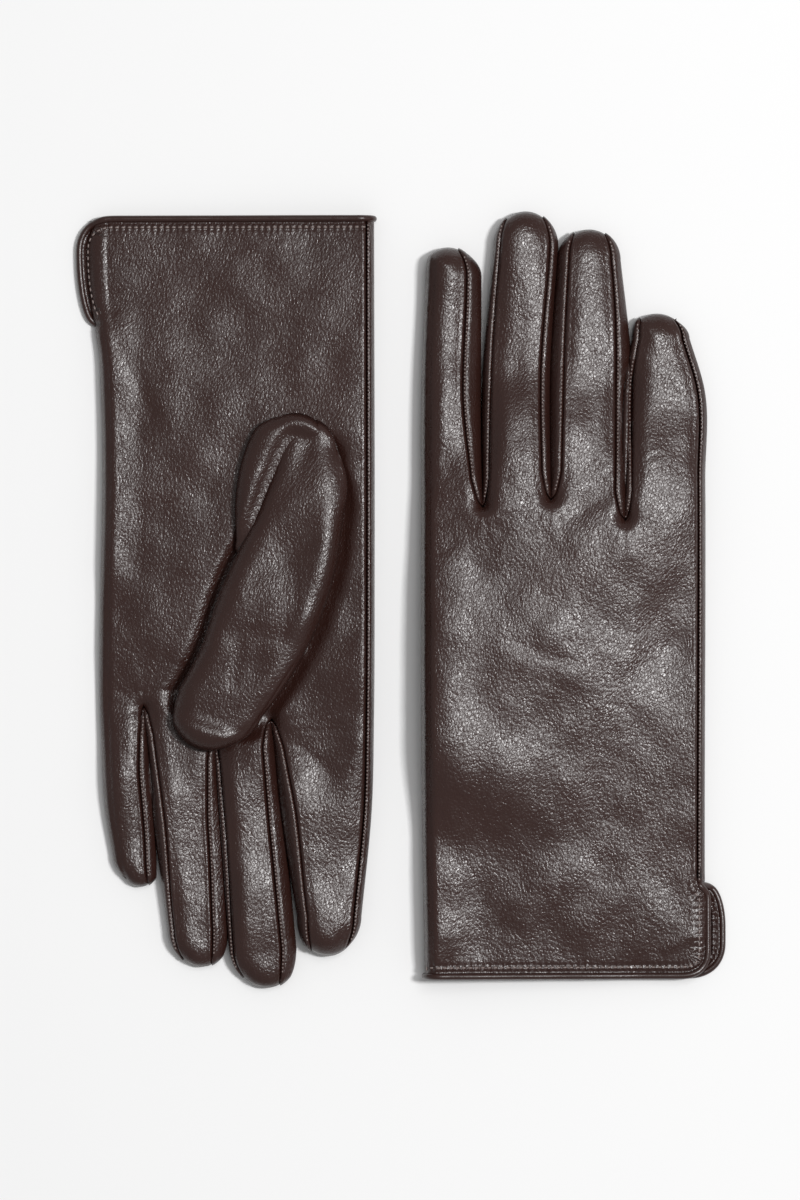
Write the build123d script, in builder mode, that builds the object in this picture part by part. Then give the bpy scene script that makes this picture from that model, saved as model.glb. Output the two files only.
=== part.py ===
"""A pair of lined leather dress gloves lying flat, as a left glove palm up and a right glove back up.

Each glove is modelled in its own flat frame: origin at the middle of the cuff edge on the back face,
+Y towards the fingertips, -X towards the index finger, and +Z from the back of the hand to the palm.
The thumb lies folded across the palm, half sunk in a soft bed in it. The left glove is then turned
half round. The right glove is mirrored in Z, which makes it the other hand and puts its palm down.

Every strip of leather, lining or thread that crosses the finger fold or the thumb fold is cut there,
because the two sides of a fold are different rigid bodies. All sizes are in millimetres.
"""

import os
from dataclasses import dataclass

from build123d import *

# Leather, lining and the thickness of a glove lying flat
LEATHER = 1.0
LINING_GAP = 0.15
LINING = 0.8
BODY_HEIGHT = 13.0
EDGE_RADIUS = 5.0
LINING_OUTER = LEATHER + LINING_GAP
CAVITY = LINING_OUTER + LINING
MID_HEIGHT = BODY_HEIGHT / 2
BEYOND = 12.0  # how far a cutting shape runs past what it cuts
CUTTER = 400.0  # a cutting block's length and width, larger than any glove

# Gaps between fingers, and the band between back and palm that the fourchettes fill
FINGER_GAP = 0.9
GAP_ROUNDING = 0.45
TIP_ROUNDING = 0.45
ROOT_ROUNDING = 40.0
FOURCHETTE_LOW = 3.2
FOURCHETTE_HEIGHT = 4.0
FOURCHETTE_ROOT = 2.5

# Side seams: on the palm face along the index side, and on the back face along the little finger side
SEAM_INSET = 2.5
THREAD = 0.5
THREAD_DEPTH = 1.0  # from the palm face or the back face down to the seam thread

# The fold across the fingers, just past the tip of the folded thumb
FINGER_FOLD_Y = 181.0
FOLD_CLEARANCE = 0.3

# Thumb: a tapered stall between two circles, with a round opening into the hand below its root
THUMB_ROOT = (-18.0, 84.0)
THUMB_ROOT_RADIUS = 18.5
THUMB_TIP = (5.0, 161.0)
THUMB_TIP_RADIUS = 15.5
THUMB_HEIGHT = 9.0
THUMB_EDGE_RADIUS = 3.6
THUMB_BED_DEPTH = 4.5
THUMB_BED_MARGIN = 0.8
THUMB_CLEARANCE = 0.3
THUMB_FOLD_FROM_ROOT = 12.0
THUMB_OPENING_RADIUS = 10.0
COLLAR = 2.0
BED_Z = BODY_HEIGHT - THUMB_BED_DEPTH
THUMB_Z = BED_Z + THUMB_CLEARANCE
TOP_Z = THUMB_Z + THUMB_HEIGHT

# Gusset: a crescent of leather let in beside the thumb's root
GUSSET_CENTRE = (-12.0, 92.0)
GUSSET_RADIUS = 18.5
GUSSET_GAP = 0.6
GUSSET_THICKNESS = 1.6

# Cuff: binding on the edge, a vent on the little finger side with a flap, and the hem stitches
BINDING = 1.8
VENT_LENGTH = 30.0
VENT_OPENING = 3.0
VENT_DEPTH = 7.0
VENT_BINDING = 0.8
FLAP_REACH = 6.0
FLAP_CORNER = 5.0
FLAP_SHOULDER_Y = 22.0
STITCH_INSET = 3.4
STITCH_PITCH = 3.0
STITCH_COUNT = 27
STITCH_LENGTH = 2.1
STITCH_WIDTH = 0.5
STITCH_DEPTH = 0.35

# Where each glove's frame lies in the pair
PAIR_HALF_LENGTH = 129.3
PAIR_HALF_WIDTH = 107.0


@dataclass
class Finger:
    """One finger as it lies: its tip's middle and width, and how far it reaches from the cuff."""

    tip_x: float
    tip_width: float
    reach: float


@dataclass
class Glove:
    """The plan of one glove: half its width, its four fingers and the three crotches between them."""

    name: str
    half_width: float
    fingers: list
    crotches: list
    outer_bends: tuple  # where the hand's two side edges start to lean towards the outer fingertips
    is_left: bool


LEFT = Glove(
    "left",
    46.0,
    [Finger(-29.6, 22.0, 245.7), Finger(-9.3, 19.5, 256.5), Finger(13.0, 18.0, 249.0), Finger(34.2, 13.5, 223.0)],
    [(-11.8, 166.0), (8.0, 168.0), (31.0, 162.0)],
    (196.0, 172.0),
    True,
)
RIGHT = Glove(
    "right",
    47.0,
    [Finger(-37.2, 19.0, 242.7), Finger(-13.2, 19.5, 254.7), Finger(8.3, 19.0, 248.7), Finger(31.8, 15.0, 220.4)],
    [(-27.3, 157.7), (-5.3, 160.3), (20.2, 153.0)],
    (205.0, 186.0),
    False,
)
FOURCHETTES = ["index_middle", "middle_ring", "ring_little"]


def glove_plan(glove, inset):
    """The outline of a glove seen from above, drawn in by inset and running past the cuff edge."""
    gap = FINGER_GAP / 2
    points = [(-glove.half_width, -BEYOND), (-glove.half_width, glove.outer_bends[0])]
    radii = [0, ROOT_ROUNDING]
    for number, finger in enumerate(glove.fingers):
        half = finger.tip_width / 2
        points += [(finger.tip_x - half, finger.reach), (finger.tip_x + half, finger.reach)]
        radii += [finger.tip_width * TIP_ROUNDING] * 2
        if number < len(glove.crotches):
            x, y = glove.crotches[number]
            points += [(x - gap, y), (x + gap, y)]
            radii += [FINGER_GAP * GAP_ROUNDING] * 2
    points += [(glove.half_width, glove.outer_bends[1]), (glove.half_width, -BEYOND)]
    radii += [ROOT_ROUNDING, 0]
    with BuildSketch() as plan:
        with BuildLine():
            FilletPolyline(*points, radius=radii, close=True)
        make_face()
        if inset:
            offset(amount=-inset)
    return plan.sketch


def thumb_plan(inset):
    """The outline of the thumb seen from above: the hull of two circles, drawn in by inset."""
    with BuildSketch() as plan:
        with Locations(THUMB_ROOT):
            Circle(THUMB_ROOT_RADIUS - inset)
        with Locations(THUMB_TIP):
            Circle(THUMB_TIP_RADIUS - inset)
        make_hull()
    return plan.sketch


def pillow(plan, low, high, rounding):
    """A plan thickened from low to high, with its top and bottom edges rounded."""
    with BuildPart() as solid:
        with BuildSketch(Plane.XY.offset(low)):
            add(plan)
        extrude(amount=high - low)
        rims = solid.edges().group_by(Axis.Z)
        fillet(rims[0] + rims[-1], rounding)
    return solid.part


def hand_form(glove, inset):
    """A glove without its thumb but with the thumb's bed in its palm, drawn in by inset all round."""
    with BuildPart() as form:
        add(pillow(glove_plan(glove, inset), inset, BODY_HEIGHT - inset, EDGE_RADIUS - inset))
        with BuildSketch(Plane.XY.offset(BED_Z - inset)):
            add(thumb_plan(-THUMB_BED_MARGIN - inset))
        extrude(amount=BODY_HEIGHT, mode=Mode.SUBTRACT)
    return form.part


def thumb_form(inset):
    """The thumb stall as a solid, drawn in by inset all round."""
    return pillow(thumb_plan(inset), THUMB_Z + inset, TOP_Z - inset, THUMB_EDGE_RADIUS - inset)


def shell(outer, inner):
    """What is left of one form when a smaller one is taken out of it."""
    with BuildPart() as skin:
        add(outer)
        add(inner, mode=Mode.SUBTRACT)
    return skin.part


def stretch(low, high):
    """A block across the whole glove between two distances from the cuff edge."""
    with BuildPart() as block:
        with Locations((0, low, -BEYOND)):
            Box(CUTTER, high - low, CUTTER, align=(Align.CENTER, Align.MIN, Align.MIN))
    return block.part


def vent(glove):
    """The slit that opens the cuff on the little finger side, from the cuff edge up."""
    with BuildPart() as slit:
        with Locations((glove.half_width - VENT_DEPTH, -BEYOND, MID_HEIGHT)):
            Box(VENT_DEPTH + BEYOND, BEYOND + VENT_LENGTH, VENT_OPENING, align=(Align.MIN, Align.MIN, Align.CENTER))
    return slit.part


def side_plan(glove, index_side, outer, inner):
    """The strip between two insets of the outline, along one side as far as the outer fingertip's middle."""
    finger = glove.fingers[0] if index_side else glove.fingers[-1]
    start = -BEYOND if index_side else VENT_LENGTH
    with BuildSketch() as strip:
        add(glove_plan(glove, outer))
        add(glove_plan(glove, inner), mode=Mode.SUBTRACT)
        with Locations((finger.tip_x, start)):
            Rectangle(CUTTER, CUTTER, align=(Align.MAX if index_side else Align.MIN, Align.MIN), mode=Mode.INTERSECT)
    return strip.sketch


def back_zone(glove):
    """Everything the back panel may fill: the lower half, with the side edges traded at the side seams."""
    with BuildPart() as zone:
        with Locations((0, -BEYOND, 0)):
            Box(CUTTER, CUTTER, MID_HEIGHT, align=(Align.CENTER, Align.MIN, Align.MIN))
        with BuildSketch():
            add(side_plan(glove, True, 0, SEAM_INSET))
        extrude(amount=BODY_HEIGHT)
        with BuildSketch():
            add(side_plan(glove, False, 0, SEAM_INSET))
        extrude(amount=BODY_HEIGHT, mode=Mode.SUBTRACT)
    return zone.part


def fourchette_zone(glove, number):
    """The band between two fingers, from just below their crotch out past their tips."""
    x, y = glove.crotches[number]
    before, after = glove.fingers[number : number + 2]
    with BuildPart() as zone:
        with BuildSketch(Plane.XY.offset(FOURCHETTE_LOW)):
            with BuildLine():
                Polyline(
                    (x - FOURCHETTE_ROOT, y - FOURCHETTE_ROOT),
                    (x + FOURCHETTE_ROOT, y - FOURCHETTE_ROOT),
                    (after.tip_x, after.reach + BEYOND),
                    (before.tip_x, before.reach + BEYOND),
                    close=True,
                )
            make_face()
        extrude(amount=FOURCHETTE_HEIGHT)
    return zone.part


def side_threads(glove):
    """The two threads that close the side seams, each buried in the leather of its face."""
    outer = SEAM_INSET - THREAD / 2
    inner = SEAM_INSET + THREAD / 2
    with BuildPart() as threads:
        with BuildSketch(Plane.XY.offset(BODY_HEIGHT - THREAD_DEPTH - THREAD)):
            add(side_plan(glove, True, outer, inner))
        extrude(amount=THREAD)
        with BuildSketch(Plane.XY.offset(THREAD_DEPTH)):
            add(side_plan(glove, False, outer, inner))
        extrude(amount=THREAD)
    return threads.part


def hem_stitches():
    """The row of stitches that holds the binding, sunk flush in the back face and in the palm face."""
    with BuildPart() as row:
        for middle in (STITCH_DEPTH / 2, BODY_HEIGHT - STITCH_DEPTH / 2):
            with Locations((0, STITCH_INSET, middle)):
                with GridLocations(STITCH_PITCH, 1, STITCH_COUNT, 1):
                    Box(STITCH_LENGTH, STITCH_WIDTH, STITCH_DEPTH)
    return row.part


def flap_plan(glove):
    """The outline of the flap that the palm leather makes beside the vent."""
    side = glove.half_width
    with BuildSketch() as plan:
        with BuildLine():
            FilletPolyline(
                (side - LEATHER, 0),
                (side + FLAP_REACH, 0),
                (side + FLAP_REACH, FLAP_SHOULDER_Y),
                (side, VENT_LENGTH),
                (side - LEATHER, VENT_LENGTH),
                radius=[0, FLAP_CORNER, FLAP_CORNER, 0, 0],
                close=True,
            )
        make_face()
    return plan.sketch


def flap_rim(glove):
    """The part of the flap's outline that its binding covers: all of it but the side towards the hand."""
    with BuildSketch() as rim:
        add(flap_plan(glove))
        with BuildSketch(mode=Mode.SUBTRACT):
            add(flap_plan(glove))
            offset(amount=-BINDING)
        with Locations((glove.half_width - LEATHER, BINDING)):
            Rectangle(BINDING, CUTTER, align=Align.MIN, mode=Mode.SUBTRACT)
    return rim.sketch


def thumb_opening(radius):
    """A round plug through the palm's bed and the underside of the thumb's root."""
    with BuildPart() as plug:
        with Locations((*THUMB_ROOT, BED_Z - CAVITY)):
            Cylinder(radius, THUMB_CLEARANCE + 2 * CAVITY, align=(Align.CENTER, Align.CENTER, Align.MIN))
    return plug.part


def thumb_fold_plane(side):
    """The plane across the thumb where it folds, moved half the fold's clearance to one side."""
    root = Vector(*THUMB_ROOT)
    axis = (Vector(*THUMB_TIP) - root).normalized()
    return Plane(origin=root + axis * (THUMB_FOLD_FROM_ROOT + side * FOLD_CLEARANCE / 2), z_dir=axis)


def back_leather(glove, leather, span):
    """The back panel's leather within one stretch of the glove."""
    with BuildPart() as panel:
        add(leather)
        add(span, mode=Mode.INTERSECT)
        add(back_zone(glove), mode=Mode.INTERSECT)
        for number in range(len(FOURCHETTES)):
            add(fourchette_zone(glove, number), mode=Mode.SUBTRACT)
        for cut in (vent(glove), side_threads(glove), hem_stitches()):
            add(cut, mode=Mode.SUBTRACT)
    return panel.part


def palm_leather(glove, leather, span):
    """The palm panel's leather within one stretch of the glove, open below the thumb's root."""
    with BuildPart() as panel:
        add(leather)
        add(span, mode=Mode.INTERSECT)
        add(back_zone(glove), mode=Mode.SUBTRACT)
        for number in range(len(FOURCHETTES)):
            add(fourchette_zone(glove, number), mode=Mode.SUBTRACT)
        for cut in (vent(glove), side_threads(glove), hem_stitches(), thumb_opening(THUMB_OPENING_RADIUS)):
            add(cut, mode=Mode.SUBTRACT)
    return panel.part


def palm_panel(glove, leather, span):
    """The palm leather of the hand with the flap beside the vent."""
    with BuildPart() as panel:
        add(palm_leather(glove, leather, span))
        with BuildSketch(Plane.XY.offset(MID_HEIGHT + VENT_OPENING / 2)):
            add(flap_plan(glove))
            add(flap_rim(glove), mode=Mode.SUBTRACT)
            with Locations((glove.half_width, 0)):
                Rectangle(CUTTER, BINDING, align=(Align.CENTER, Align.MIN), mode=Mode.SUBTRACT)
        extrude(amount=LEATHER)
    return panel.part


def fourchette(glove, number, leather, span):
    """The side strips between two fingers, within one stretch of the glove."""
    with BuildPart() as strip:
        add(leather)
        add(span, mode=Mode.INTERSECT)
        add(fourchette_zone(glove, number), mode=Mode.INTERSECT)
    return strip.part


def fourchette_roots(glove, leather, span):
    """The ends of all three fourchettes, where each turns round its crotch."""
    with BuildPart() as roots:
        for number in range(len(FOURCHETTES)):
            add(fourchette(glove, number, leather, span))
    return roots.part


def threads_in(glove, span):
    """The side seam threads within one stretch of the glove."""
    with BuildPart() as threads:
        add(side_threads(glove))
        add(span, mode=Mode.INTERSECT)
    return threads.part


def cuff_binding(glove):
    """The binding round the cuff edge, up the back's edge of the vent, over its top and round the flap."""
    inside = glove.half_width - CAVITY
    low = MID_HEIGHT - VENT_OPENING / 2
    flap_middle = MID_HEIGHT + VENT_OPENING / 2 + LEATHER / 2
    with BuildPart() as binding:
        add(shell(hand_form(glove, 0), hand_form(glove, CAVITY)))
        add(stretch(0, BINDING), mode=Mode.INTERSECT)
        add(vent(glove), mode=Mode.SUBTRACT)
        with Locations((inside, 0, low)):
            Box(CAVITY, VENT_LENGTH, VENT_BINDING, align=Align.MIN)
        with Locations((inside, VENT_LENGTH, low)):
            Box(CAVITY, VENT_BINDING, VENT_OPENING, align=(Align.MIN, Align.MAX, Align.MIN))
        with BuildSketch(Plane.XY.offset(flap_middle - BINDING / 2)):
            add(flap_rim(glove))
        extrude(amount=BINDING)
    return binding.part


def lining_in(glove, cloth, span):
    """The lining of the hand or of the fingers, within one stretch of the glove."""
    with BuildPart() as lining:
        add(cloth)
        add(span, mode=Mode.INTERSECT)
        add(vent(glove), mode=Mode.SUBTRACT)
    return lining.part


def hand_lining(glove, cloth, span):
    """The hand's lining, joined by a short collar to the lining of the thumb's root."""
    with BuildPart() as lining:
        add(lining_in(glove, cloth, span))
        add(thumb_side(LINING_OUTER, CAVITY, Keep.BOTTOM))
        add(thumb_opening(THUMB_OPENING_RADIUS - LINING_GAP))
        add(thumb_opening(THUMB_OPENING_RADIUS - LINING_GAP - LINING), mode=Mode.SUBTRACT)
    return lining.part


def thumb_side(outer, inner, keep):
    """The thumb's shell between two insets, on one side of the thumb fold."""
    with BuildPart() as side:
        add(shell(thumb_form(outer), thumb_form(inner)))
        split(bisect_by=thumb_fold_plane(1 if keep == Keep.TOP else -1), keep=keep)
    return side.part


def thumb_root():
    """The part of the thumb's leather that stays on the hand, sewn to the palm by a collar."""
    with BuildPart() as root:
        add(thumb_side(0, LEATHER, Keep.BOTTOM))
        with BuildSketch(Plane.XY.offset(BED_Z)):
            with Locations(THUMB_ROOT):
                Circle(THUMB_OPENING_RADIUS + COLLAR / 2)
        extrude(amount=THUMB_CLEARANCE + LEATHER)
        add(thumb_opening(THUMB_OPENING_RADIUS), mode=Mode.SUBTRACT)
    return root.part


def gusset():
    """The crescent let in between the palm and the inner side of the thumb's root."""
    with BuildPart() as crescent:
        with BuildSketch(Plane.XY.offset(BODY_HEIGHT)):
            with Locations(GUSSET_CENTRE):
                Circle(GUSSET_RADIUS)
            add(thumb_plan(-THUMB_BED_MARGIN - GUSSET_GAP), mode=Mode.SUBTRACT)
        extrude(amount=GUSSET_THICKNESS)
    return crescent.part


def lay_down(piece, glove):
    """A piece moved from its glove's own frame to where that glove lies in the pair."""
    longest = max(finger.reach for finger in glove.fingers)
    x = PAIR_HALF_WIDTH - glove.half_width - FLAP_REACH
    y = PAIR_HALF_LENGTH - longest
    if glove.is_left:
        return Pos(-x, -y, 0) * Rot(0, 0, 180) * piece
    return Pos(x, y, TOP_Z) * mirror(piece, about=Plane.XY)


def write(piece, glove, name):
    """Lay a piece down, label it and write it."""
    laid = lay_down(piece, glove)
    laid.label = f"{glove.name}_{name}"
    export_step(laid, f"parts/{laid.label}.step")


os.makedirs("parts", exist_ok=True)
hand_span = stretch(BINDING, FINGER_FOLD_Y - FOLD_CLEARANCE / 2)
finger_span = stretch(FINGER_FOLD_Y + FOLD_CLEARANCE / 2, CUTTER)

for glove in (LEFT, RIGHT):
    leather = shell(hand_form(glove, 0), hand_form(glove, LEATHER))
    cloth = shell(hand_form(glove, LINING_OUTER), hand_form(glove, CAVITY))
    write(back_leather(glove, leather, hand_span), glove, "back_panel")
    write(back_leather(glove, leather, finger_span), glove, "back_fingers")
    write(palm_panel(glove, leather, hand_span), glove, "palm_panel")
    write(palm_leather(glove, leather, finger_span), glove, "palm_fingers")
    write(fourchette_roots(glove, leather, hand_span), glove, "fourchette_roots")
    for number, between in enumerate(FOURCHETTES):
        write(fourchette(glove, number, leather, finger_span), glove, f"fourchette_{between}")
    write(threads_in(glove, hand_span), glove, "side_seam_thread")
    write(threads_in(glove, finger_span), glove, "finger_seam_thread")
    write(cuff_binding(glove), glove, "cuff_binding")
    write(hem_stitches(), glove, "hem_stitches")
    write(hand_lining(glove, cloth, hand_span), glove, "hand_lining")
    write(lining_in(glove, cloth, finger_span), glove, "finger_lining")
    write(thumb_root(), glove, "thumb_root")
    write(thumb_side(0, LEATHER, Keep.TOP), glove, "thumb")
    write(thumb_side(LINING_OUTER, CAVITY, Keep.TOP), glove, "thumb_lining")
    write(gusset(), glove, "thumb_gusset")
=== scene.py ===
import math

import bpy
import numpy as np
from mathutils import Matrix, Vector
from mathutils.bvhtree import BVHTree


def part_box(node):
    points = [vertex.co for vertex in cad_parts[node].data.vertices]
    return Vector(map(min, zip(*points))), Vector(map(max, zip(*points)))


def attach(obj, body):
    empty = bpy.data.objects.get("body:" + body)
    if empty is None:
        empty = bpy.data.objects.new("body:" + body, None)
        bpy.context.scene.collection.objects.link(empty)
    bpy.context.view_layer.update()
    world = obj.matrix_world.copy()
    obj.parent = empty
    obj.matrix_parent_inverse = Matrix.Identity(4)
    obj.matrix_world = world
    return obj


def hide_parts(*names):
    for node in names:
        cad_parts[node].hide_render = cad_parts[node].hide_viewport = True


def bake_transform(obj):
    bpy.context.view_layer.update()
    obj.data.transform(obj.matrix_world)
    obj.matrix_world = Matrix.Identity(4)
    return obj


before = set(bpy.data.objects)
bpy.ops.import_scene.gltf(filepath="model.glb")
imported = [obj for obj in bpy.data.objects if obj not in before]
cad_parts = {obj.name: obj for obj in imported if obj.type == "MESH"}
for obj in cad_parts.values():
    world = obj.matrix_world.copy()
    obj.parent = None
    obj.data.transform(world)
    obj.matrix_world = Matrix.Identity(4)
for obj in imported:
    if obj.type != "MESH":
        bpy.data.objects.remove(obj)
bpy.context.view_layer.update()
bpy.ops.object.select_all(action="DESELECT")


# ---------------------------------------------------------------------------------------------
# Palm and back panels: each is one piece of smooth dark brown leather, from the cuff to all four
# fingertips. The back comes round the index side to a seam on the palm face, and the palm round the
# little finger side to a seam on the back face. They are sewn inside out, so seams show as grooves.
# ---------------------------------------------------------------------------------------------

# Each glove is drawn flat in millimetres, from the middle of its cuff edge, with +Y to the fingertips
# and the little finger on the +X side. The left glove is turned half round when it is laid out.
MM = 0.001


class Glove:
    """One glove's own lines and how it lies. Side 0 is the index finger's, side 1 the little finger's."""

    def __init__(self, name, turned, sides, crotches, fingers, insets, vent, lie, creases):
        self.name = name
        self.turned = turned
        self.sides = sides
        self.crotches = crotches
        self.fingers = fingers
        self.insets = insets
        self.flap_widest, self.vent_top = vent
        self.seed, self.swells, self.finger_roll, self.finger_rounding = lie
        self.creases = creases
        low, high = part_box(f"{name}_back_panel")
        rim_low, rim_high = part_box(f"{name}_cuff_binding")
        self.middle = (low[0] + high[0]) / 2
        self.cuff = rim_high[1] if turned else rim_low[1]

    def laid(self, points):
        """Points in the glove's millimetres, moved to where the glove lies, in metres."""
        way = -1 if self.turned else 1
        out = np.empty_like(points)
        out[..., 0] = self.middle + way * points[..., 0] * MM
        out[..., 1] = self.cuff + way * points[..., 1] * MM
        out[..., 2] = points[..., 2] * MM
        return out


# Fingers are listed from the index: the points of each side from crotch to shoulder (None where the
# glove's outer side goes on), how far the tip reaches and how far it leans. Insets are how far in from
# its outline each side's seam lies on the face that shows: just above the crotch, half way and at the
# shoulder. Vent is where its flap is widest and where it ends. Lie is the seed of the soft swells, their
# height at the cuff and at the fingers, how far each finger is rolled over, and how much rounder its
# edges are than the hand's. A crease is its start, end, width and depth, and is a ridge if under zero.
LEFT = Glove(
    "left",
    turned=True,
    sides=[[(-45.6, 0), (-45.8, 120), (-45.6, 165), (-44.9, 196), (-41.4, 232.5)],
           [(49.4, 0), (49.5, 14), (48.9, 26), (47.3, 37), (46.0, 46), (45.3, 60), (45.3, 172),
            (43.8, 198), (41.4, 212)]],
    crotches=[(-11.3, 167.3), (7.7, 172.0), (31.2, 163.0)],
    fingers=[
        dict(left=None, right=[(-11.5, 167.3), (-15.4, 200), (-20.4, 232.5)], reach=245.7, lean=0.8),
        dict(left=[(-11.1, 167.3), (-15.1, 200), (-19.2, 243)], right=[(7.5, 172), (4.7, 210), (2.2, 243)],
             reach=256.3, lean=-1.2),
        dict(left=[(7.9, 172), (5.1, 205), (3.5, 237)], right=[(31.0, 163), (27.5, 200), (22.5, 237)],
             reach=249.3, lean=-1.0),
        dict(left=[(31.4, 163), (28.1, 190), (27.4, 212)], right=None, reach=222.7, lean=-2.0),
    ],
    insets=[(2.5, 4.4, 3.0), (3.4, 4.6, 4.4), (0.9, 1.3, 0.9), (2.2, 4.4, 4.6), (2.0, 3.3, 1.4),
            (1.2, 4.0, 3.0)],
    vent=(12.0, 36.5),
    lie=(7, (0.30, 0.75), 0.225, 2.4),
    creases=[
        ((-19, 170.4), (-41, 170.8), 0.45, 0.16),
        ((-22, 166.5), (-38, 161.0), 0.9, 0.14),
        ((-15, 171), (-32, 186), 2.6, 0.45),
        ((16, 150), (44, 141), 0.8, 0.14),
        ((14, 157), (38, 158), 1.0, 0.16),
        ((28, 66), (45, 30), 3.0, 0.35),
        ((-19.8, 140), (-22.4, 148), 0.9, -0.75),
        ((-18.2, 141), (-20.6, 149), 0.6, 0.75),
    ],
)
RIGHT = Glove(
    "right",
    turned=False,
    sides=[[(-46.6, 0), (-47.6, 60), (-47.8, 150), (-47.6, 200), (-46.3, 233)],
           [(46.9, 0), (46.7, 40), (46.8, 165), (46.5, 196), (41.6, 212.5)]],
    crotches=[(-27.4, 156.7), (-4.8, 159.1), (19.9, 152.5)],
    fingers=[
        dict(left=None, right=[(-27.6, 156.7), (-28.3, 191), (-28.2, 233)], reach=242.7, lean=-1.6),
        dict(left=[(-27.2, 156.7), (-26.6, 205), (-23.0, 243)], right=[(-5.0, 159), (-5.0, 200), (-2.6, 243)],
             reach=254.7, lean=-0.2),
        dict(left=[(-4.6, 159), (-4.5, 203), (-2.0, 238.5)],
             right=[(19.7, 152.5), (21.6, 205), (18.1, 238.5)],
             reach=248.7, lean=0.0),
        dict(left=[(20.1, 152.5), (20.1, 198), (22.9, 212.5)], right=None, reach=220.7, lean=-1.6),
    ],
    insets=[(3.0, 5.6, 4.4), (1.6, 2.2, 1.4), (2.6, 3.0, 2.2), (3.0, 4.0, 3.2), (3.4, 4.8, 2.6),
            (1.8, 2.9, 1.6)],
    vent=(17.0, 31.5),
    lie=(23, (0.70, 0.70), -0.085, 4.0),
    creases=[
        ((33, 8.5), (42.5, 15.5), 1.6, -0.42),
        ((-30.9, 164.5), (-28.9, 171), 0.45, -0.4),
        ((-7.0, 164.5), (-5.2, 171.2), 0.45, -0.4),
        ((26.5, 171.5), (31, 174), 0.5, 0.30),
        ((-3, 150), (18, 163), 2.6, 0.30),
        ((-30, 149), (-44, 140), 2.8, 0.30),
        ((-20, 112), (4, 104), 2.4, 0.28),
        ((-14, 176), (-16, 205), 4.0, 0.30),
        ((-6, 98), (26, 88), 0.7, 0.16),
    ],
)

# Rows run from the cuff to the tips: close together by the hem and the crotches, wider in between.
HEM_ROWS = np.concatenate([np.arange(0.4, 8.0, 0.55), np.arange(8.0, 36.0, 1.0)])
HAND_ROWS = np.concatenate([HEM_ROWS, np.arange(36.0, 148.0, 1.5), np.arange(148.0, 180.1, 0.8)])
FINGER_STEPS = 46
TIP_STEPS = 14
FINGERS = 4
CUFF_QUARTER = 23.0
EDGE_RADIUS = 6.0
SIDE_SEAM_INSET = 2.6


def through(points, y):
    """A smooth line's x at y, through a few (x, y) points listed upwards."""
    px, py = np.array(points, float).T
    y = np.clip(y, py[0], py[-1])
    slope = np.gradient(px, py)
    k = np.clip(np.searchsorted(py, y) - 1, 0, len(py) - 2)
    step = py[k + 1] - py[k]
    t = (y - py[k]) / step
    start = (2 * t**3 - 3 * t**2 + 1) * px[k] + (t**3 - 2 * t**2 + t) * step * slope[k]
    return start + (3 * t**2 - 2 * t**3) * px[k + 1] + (t**3 - t**2) * step * slope[k + 1]


def ease(t):
    """A smooth rise from 0 to 1."""
    t = np.clip(t, 0.0, 1.0)
    return t * t * (3 - 2 * t)


def outer(number, side):
    """Whether a finger's side is also the glove's outer side. The others end in crotch number - 1 + side."""
    return (number, side) in ((0, 0), (FINGERS - 1, 1))


def finger_rows(glove, number):
    """For one finger's strip: each row's y, how far it is into the rounded tip, and its two outlines."""
    finger = glove.fingers[number]
    outlines = finger["left"] or glove.sides[0], finger["right"] or glove.sides[1]
    shoulder = min(outline[-1][1] for outline in outlines)
    above = np.linspace(HAND_ROWS[-1], shoulder, FINGER_STEPS + 1)[1:]
    y = np.concatenate([HAND_ROWS, above, np.full(TIP_STEPS, shoulder)])
    tip = np.concatenate([np.zeros(len(HAND_ROWS) + FINGER_STEPS), np.linspace(0, 1, TIP_STEPS + 1)[1:]])
    sides = []
    for side, outline in enumerate(outlines):
        x = through(outline, y)
        if not outer(number, side):
            crotch = number - 1 + side
            crotch_x, crotch_y = glove.crotches[crotch]
            at_cuff = (crotch - 1) * CUFF_QUARTER
            x = np.where(y <= crotch_y, at_cuff + (crotch_x - at_cuff) * ease(y / crotch_y), x)
        sides.append(x)
    return y, tip, sides[0], sides[1], finger["reach"] - shoulder, finger["lean"]


def on_plan(rows, across):
    """Plan points of one strip: across runs from -1 at its left outline to 1 at its right one."""
    y, tip, left, right, rise, lean = rows
    middle = ((left + right) / 2)[:, None]
    half = ((right - left) / 2)[:, None]
    tip = tip[:, None]
    x = middle + half * across * np.sqrt(1 - tip**2 / 2) + lean * tip**2
    up = y[:, None] + rise * tip * np.sqrt(np.maximum(1 - across**2 / 2, 0))
    return np.stack([x, up], axis=-1)


def half_width(rows):
    return ((rows[3] - rows[2]) / 2)[:, None]


def seam_line(glove, rows, number, side):
    """How far in from the outline a finger's seam lies, row by row, on one side of the finger."""
    y = rows[0]
    crotch = number - 1 + side
    at_crotch, half_way, shoulder = glove.insets[2 * crotch + 1 - side]
    crotch_y = glove.crotches[crotch][1]
    run = (y - crotch_y) / (y[-1] - crotch_y)
    wide = np.where(run < 0.5, at_crotch + (half_way - at_crotch) * ease(2 * run),
                    half_way + (shoulder - half_way) * ease(2 * run - 1))
    opened = np.sqrt(np.clip((y - crotch_y) / 9.0, 0, 1))
    return np.where(y <= crotch_y, 0.0, wide * opened)


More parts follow.
